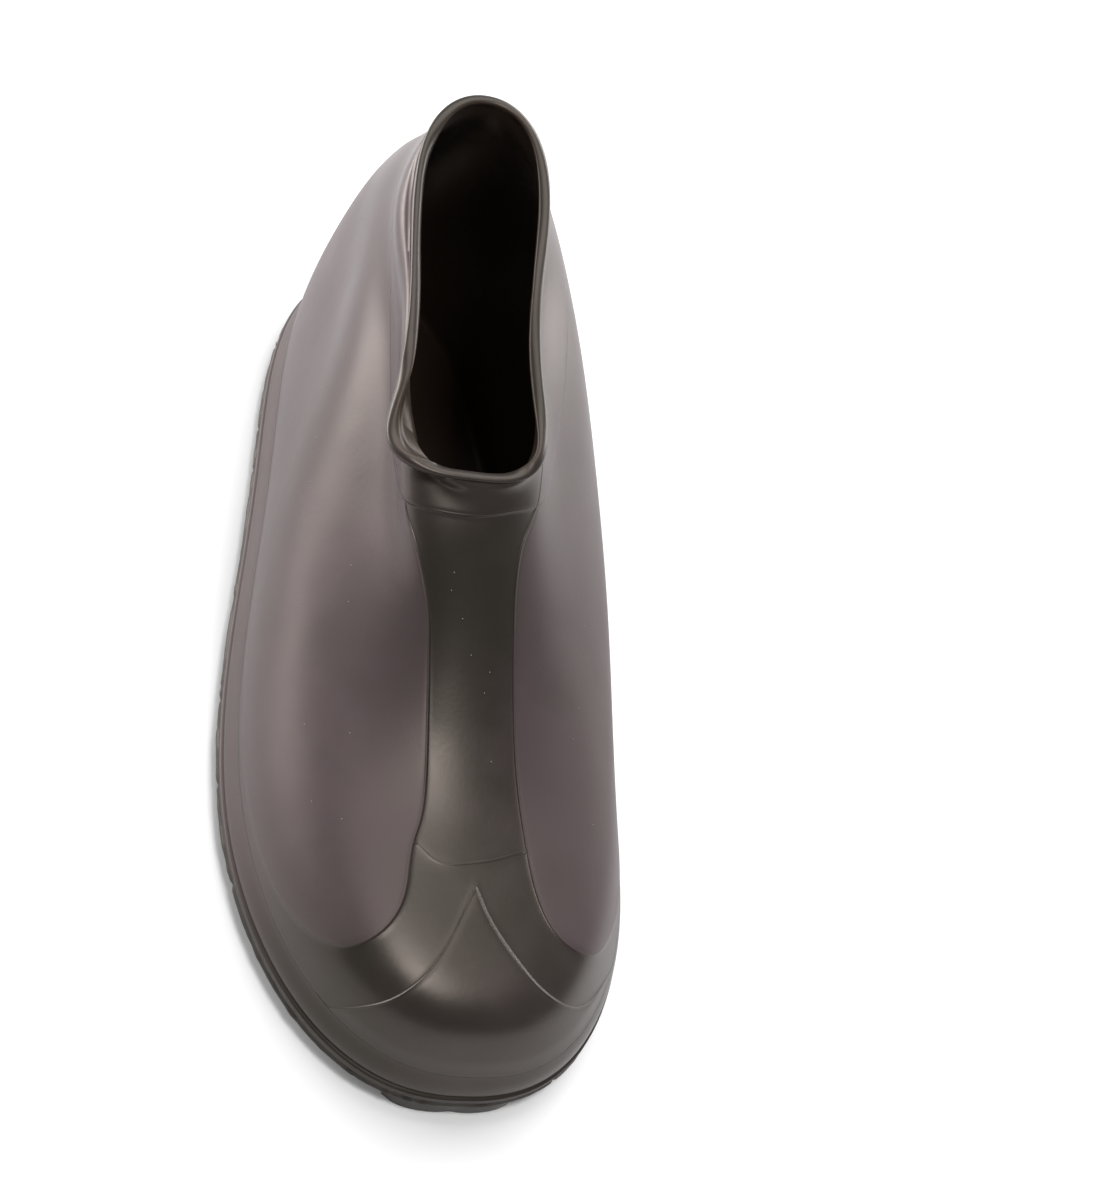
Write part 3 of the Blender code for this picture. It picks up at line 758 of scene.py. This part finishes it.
def place_copies(name, shape_mesh, places, turns_deg, material):
    """Copies of one shape at given points, each turned about Z, made with Geometry Nodes."""
    shape = bpy.data.objects.new(name + "_shape", shape_mesh)
    guide = bpy.data.meshes.new(name + "_places")
    guide.from_pydata([tuple(p) for p in places], [], [])
    set_attribute(guide, "turn", [radians(d) for d in turns_deg])
    tree = bpy.data.node_groups.new(name, "GeometryNodeTree")
    tree.interface.new_socket("Geometry", in_out="INPUT", socket_type="NodeSocketGeometry")
    tree.interface.new_socket("Shape", in_out="INPUT", socket_type="NodeSocketObject")
    tree.interface.new_socket("Rubber", in_out="INPUT", socket_type="NodeSocketMaterial")
    tree.interface.new_socket("Geometry", in_out="OUTPUT", socket_type="NodeSocketGeometry")
    nodes = tree.nodes
    start = nodes.new("NodeGroupInput")
    end = nodes.new("NodeGroupOutput")
    points = nodes.new("GeometryNodeMeshToPoints")
    info = nodes.new("GeometryNodeObjectInfo")
    angle = nodes.new("GeometryNodeInputNamedAttribute")
    angle.data_type = "FLOAT"
    angle.inputs["Name"].default_value = "turn"
    combine = nodes.new("ShaderNodeCombineXYZ")
    instance = nodes.new("GeometryNodeInstanceOnPoints")
    real = nodes.new("GeometryNodeRealizeInstances")
    paint = nodes.new("GeometryNodeSetMaterial")
    link = tree.links.new
    link(start.outputs["Geometry"], points.inputs["Mesh"])
    link(points.outputs["Points"], instance.inputs["Points"])
    link(start.outputs["Shape"], info.inputs["Object"])
    link(info.outputs["Geometry"], instance.inputs["Instance"])
    link(angle.outputs["Attribute"], combine.inputs["Z"])
    link(combine.outputs["Vector"], instance.inputs["Rotation"])
    link(instance.outputs["Instances"], real.inputs["Geometry"])
    link(real.outputs["Geometry"], paint.inputs["Geometry"])
    link(start.outputs["Rubber"], paint.inputs["Material"])
    link(paint.outputs["Geometry"], end.inputs["Geometry"])

    carrier = bpy.data.objects.new(name + "_carrier", guide)
    bpy.context.scene.collection.objects.link(carrier)
    bpy.context.scene.collection.objects.link(shape)
    modifier = carrier.modifiers.new(name, "NODES")
    modifier.node_group = tree
    sockets = {s.name: s.identifier for s in tree.interface.items_tree if s.in_out == "INPUT"}
    modifier[sockets["Shape"]] = shape
    modifier[sockets["Rubber"]] = material
    bpy.context.view_layer.update()
    evaluated = carrier.evaluated_get(bpy.context.evaluated_depsgraph_get())
    mesh = bpy.data.meshes.new_from_object(evaluated)
    mesh.name = name
    carrier.modifiers.clear()
    bpy.data.objects.remove(carrier)
    bpy.data.objects.remove(shape)
    face_outwards(mesh)
    return add_object(name, mesh, material, 50)


def make_specks(shift, material):
    """A few pale crumbs of bloom that cling to the side panels and the tongue."""
    rng = np.random.default_rng(5)
    turn = [*rng.uniform(45, 138, 22), *rng.uniform(222, 300, 14), *rng.uniform(170, 192, 7)]
    height = [*rng.uniform(0.16, 0.62, 36), *rng.uniform(0.46, 0.76, 7)]
    places = []
    for angle, t in zip(turn, height):
        point, normal = wall_grid(np.array([radians(angle)]), [t])
        stand = TONGUE_RELIEF if 165 < angle < 195 else PANEL_RELIEF
        places.append(tuple(point[0, 0] + normal[0, 0] * stand * MM + shift))
    bm = bmesh.new()
    bmesh.ops.create_icosphere(bm, subdivisions=1, radius=0.00020)
    mesh = bpy.data.meshes.new("speck_shape")
    bm.to_mesh(mesh)
    bm.free()
    return place_copies("bloom_specks", mesh, places, [0] * len(places), material)


def make_edge_cleats(shift, material):
    reach = TRIM_REACH - CLEAT_EDGE_INSET
    places, angles = [], []
    for i in range(CLEAT_COUNT):
        y = -FIRST_CLEAT_Y - i * CLEAT_PITCH
        outer_x, inner_x = outline_x(y - CLEAT_WIDTH / 3, reach)
        places.extend([(outer_x + shift[0], y + shift[1], 0.0), (inner_x + shift[0], y + shift[1], 0.0)])
        angles.extend([0, 180])
    return place_copies("edge_cleats", half_round(), places, angles, material)


def make_studs(shift, material):
    reach = TRIM_REACH - CLEAT_EDGE_INSET
    places = []
    for i in range(CLEAT_COUNT):
        y = -FIRST_CLEAT_Y - i * CLEAT_PITCH
        outer_x, inner_x = outline_x(y - CLEAT_WIDTH / 3, reach)
        places.append(((outer_x + inner_x) / 2 + shift[0], y + shift[1], 0.0))
    return place_copies("middle_studs", hexagon(), places, [0] * CLEAT_COUNT, material)


def block_outline(edge_x, y, inwards):
    side = BLOCK_WIDTH / 2
    corner = edge_x + inwards * (BLOCK_LENGTH - side)
    far = edge_x + inwards * BLOCK_LENGTH
    return ((edge_x, y - side), (corner, y - side), (far, y - side / 2),
            (far, y + side / 2), (corner, y + side), (edge_x, y + side))


def make_blocks(shift, material):
    """The two faceted blocks, the toe lug and the ribs of the heel."""
    reach = TRIM_REACH - CLEAT_EDGE_INSET
    top = TREAD_DEPTH + CLEAT_SINK
    y = -FIRST_CLEAT_Y + CLEAT_PITCH + (BLOCK_WIDTH - CLEAT_WIDTH) / 2
    outer_x, inner_x = outline_x(y, reach)
    shapes = [
        prism("block", block_outline(outer_x, y, 1), 0.0, top, LUG_TAPER, 0.0004),
        prism("block", block_outline(inner_x, y, -1), 0.0, top, LUG_TAPER, 0.0004),
    ]
    reach = TRIM_REACH - TOE_LUG_INSET
    outline = plan_outline(turns(AROUND), reach, 0.0)
    middle = float(outline[np.argmin(outline[:, 1]), 0])
    half = TOE_LUG_WIDTH / 2
    steps = middle + half * np.linspace(-1, 1, 17)
    front = [(x, outline_y(x, reach) + 0.0020 * abs((x - middle) / half) ** 8) for x in steps]
    back = max(front[0][1], front[-1][1]) + 0.4 * TOE_LUG_DEPTH
    outline = (*front, (middle + 0.8 * half, back), (middle - 0.8 * half, back))
    shapes.append(prism("toe", outline, 0.0, top, LUG_TAPER, 0.0004))

    outline = plan_outline(turns(720), TRIM_REACH - HEEL_INSET, 0.0)
    end = float(outline[:, 1].max())
    breast = end - HEEL_LENGTH
    pitch = HEEL_LENGTH / (GROOVE_COUNT + 1)
    for i in range(GROOVE_COUNT + 1):
        low = breast if i == 0 else breast + i * pitch + GROOVE_WIDTH / 2
        high = end if i == GROOVE_COUNT else breast + (i + 1) * pitch - GROOVE_WIDTH / 2
        shapes.append(heel_slice(low, high, end, 0.0))
    shapes.append(heel_slice(breast + 0.0003, end, end, GROOVE_DEPTH, 0.0003))
    bm = bmesh.new()
    for mesh in shapes:
        bm.from_mesh(mesh)
        bpy.data.meshes.remove(mesh)
    mesh = bpy.data.meshes.new("tread_blocks")
    bm.to_mesh(mesh)
    bm.free()
    for vertex in mesh.vertices:
        vertex.co += Vector(shift)
    return add_object("tread_blocks", mesh, material, 50)


def heel_slice(low, high, end, floor_z, inset=0.0):
    """One rib of the heel between two heights of y, following the outline."""
    reach = TRIM_REACH - HEEL_INSET - inset
    stop = min(high, end - 0.0002)
    levels = low + (stop - low) * np.sin(np.linspace(0, pi / 2, 14))
    pairs = [outline_x(y, reach) for y in levels]
    outline = [(pair[0], y) for pair, y in zip(pairs, levels)]
    outline += [(pair[1], y) for pair, y in reversed(list(zip(pairs, levels)))]
    soften = 0.0004 if floor_z == 0.0 else 0.0
    return prism("rib", outline, floor_z, TREAD_DEPTH + CLEAT_SINK, 0.0, soften)


# Build
def find_shift():
    """The CAD part is centred on its box; the same move for the meshes made here."""
    low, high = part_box("upper")
    points, _ = wall_grid(turns(60), [0.0, 0.05, 0.11, 0.17, 0.23, 0.30])
    flat = points.reshape(-1, 3)
    x = (low.x + high.x) / 2 - (flat[:, 0].min() + flat[:, 0].max()) / 2
    y = (low.y + high.y) / 2 - (flat[:, 1].min() + flat[:, 1].max()) / 2
    return np.array([x, y, 0.0])


SHIFT = find_shift()
# Satin olive-brown, with duller mauve bloom on the side panels and a polish near the opening
UPPER_RUBBER = rubber("moulded_natural_rubber_upper", "#201d17", "#43383b", 0.36, relief=True)
# The same rubber and colours, so that the band runs into the wall without a break
FOXING_RUBBER = rubber("moulded_natural_rubber_foxing", "#201d17", "#43383b", 0.36, relief=False)
# Pressed in a harder mix: darker and more matt than the upper
SOLE_RUBBER = rubber("moulded_natural_rubber_outsole", "#211f1d", "#2f2b2a", 0.52, relief=False)

upper = make_upper(SHIFT, UPPER_RUBBER)
foxing = make_foxing(SHIFT, FOXING_RUBBER)
plate = make_plate(SHIFT, SOLE_RUBBER)
cleats = make_edge_cleats(SHIFT, SOLE_RUBBER)
studs = make_studs(SHIFT, SOLE_RUBBER)
blocks = make_blocks(SHIFT, SOLE_RUBBER)
# Crumbs of wax bloom: pale matt points that catch the eye on the dark rubber
specks = make_specks(SHIFT, plain("pale_bloom_crumbs", "#8f8884", 0.8))
for piece in (upper, foxing, plate, cleats, studs, blocks, specks):
    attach(piece, "root")
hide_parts("upper")
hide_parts("foxing")
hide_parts("outsole")


# Floor, light and camera
def make_floor():
    mesh = bpy.data.meshes.new("studio_floor")
    half = 4.0
    corners = [(-half, -half, 0), (half, -half, 0), (half, half, 0), (-half, half, 0)]
    mesh.from_pydata(corners, [], [(0, 1, 2, 3)])
    return add_object("studio_floor", mesh, plain("pale_studio_board", "#fafafa", 0.9))


def area_light(name, position, target, size, watts, height):
    data = bpy.data.lights.new(name, "AREA")
    data.shape = "RECTANGLE"
    data.size = size
    data.size_y = height
    data.energy = watts
    lamp = bpy.data.objects.new(name, data)
    away = Vector(target) - Vector(position)
    lamp.matrix_world = Matrix.Translation(position) @ away.to_track_quat("-Z", "Y").to_matrix().to_4x4()
    bpy.context.scene.collection.objects.link(lamp)
    return lamp


def make_camera():
    """The photograph's view: turned 33 degrees from the toe, 50 above, rolled 32."""
    turn, tilt, roll = radians(-32.76), radians(49.99), radians(32.4)
    back = Vector((sin(turn) * cos(tilt), -cos(turn) * cos(tilt), sin(tilt)))
    level = Vector((cos(turn), sin(turn), 0))
    upright = back.cross(level)
    right = cos(roll) * level + sin(roll) * upright
    up = -sin(roll) * level + cos(roll) * upright
    data = bpy.data.cameras.new("photo_camera")
    data.sensor_fit = "VERTICAL"
    data.sensor_height = 36.0
    data.lens = 66.0
    camera = bpy.data.objects.new("photo_camera", data)
    rotation = Matrix((right, up, back)).transposed().to_4x4()
    camera.matrix_world = Matrix.Translation((-0.2041, -0.3834, 0.5815)) @ rotation
    bpy.context.scene.collection.objects.link(camera)
    bpy.context.scene.camera = camera
    return camera


floor = make_floor()
target = (0.0, 0.0, 0.05)
area_light("top_softbox", (0.0, -0.31, 1.15), target, 0.30, 6, height=0.30)
area_light("back_softbox", (0.15, 0.75, 1.4), target, 1.2, 14, height=1.2)
area_light("left_softbox", (-1.18, 0.95, 0.28), target, 1.3, 30, height=0.5)
area_light("right_softbox", (1.10, 0.92, 0.38), target, 1.2, 17, height=0.6)
make_camera()
world = bpy.data.worlds.new("studio")
world.use_nodes = True
world.node_tree.nodes["Background"].inputs[0].default_value = linear("#ffffff")
world.node_tree.nodes["Background"].inputs[1].default_value = 0.30
bpy.context.scene.world = world
bpy.context.scene.view_settings.view_transform = "Standard"
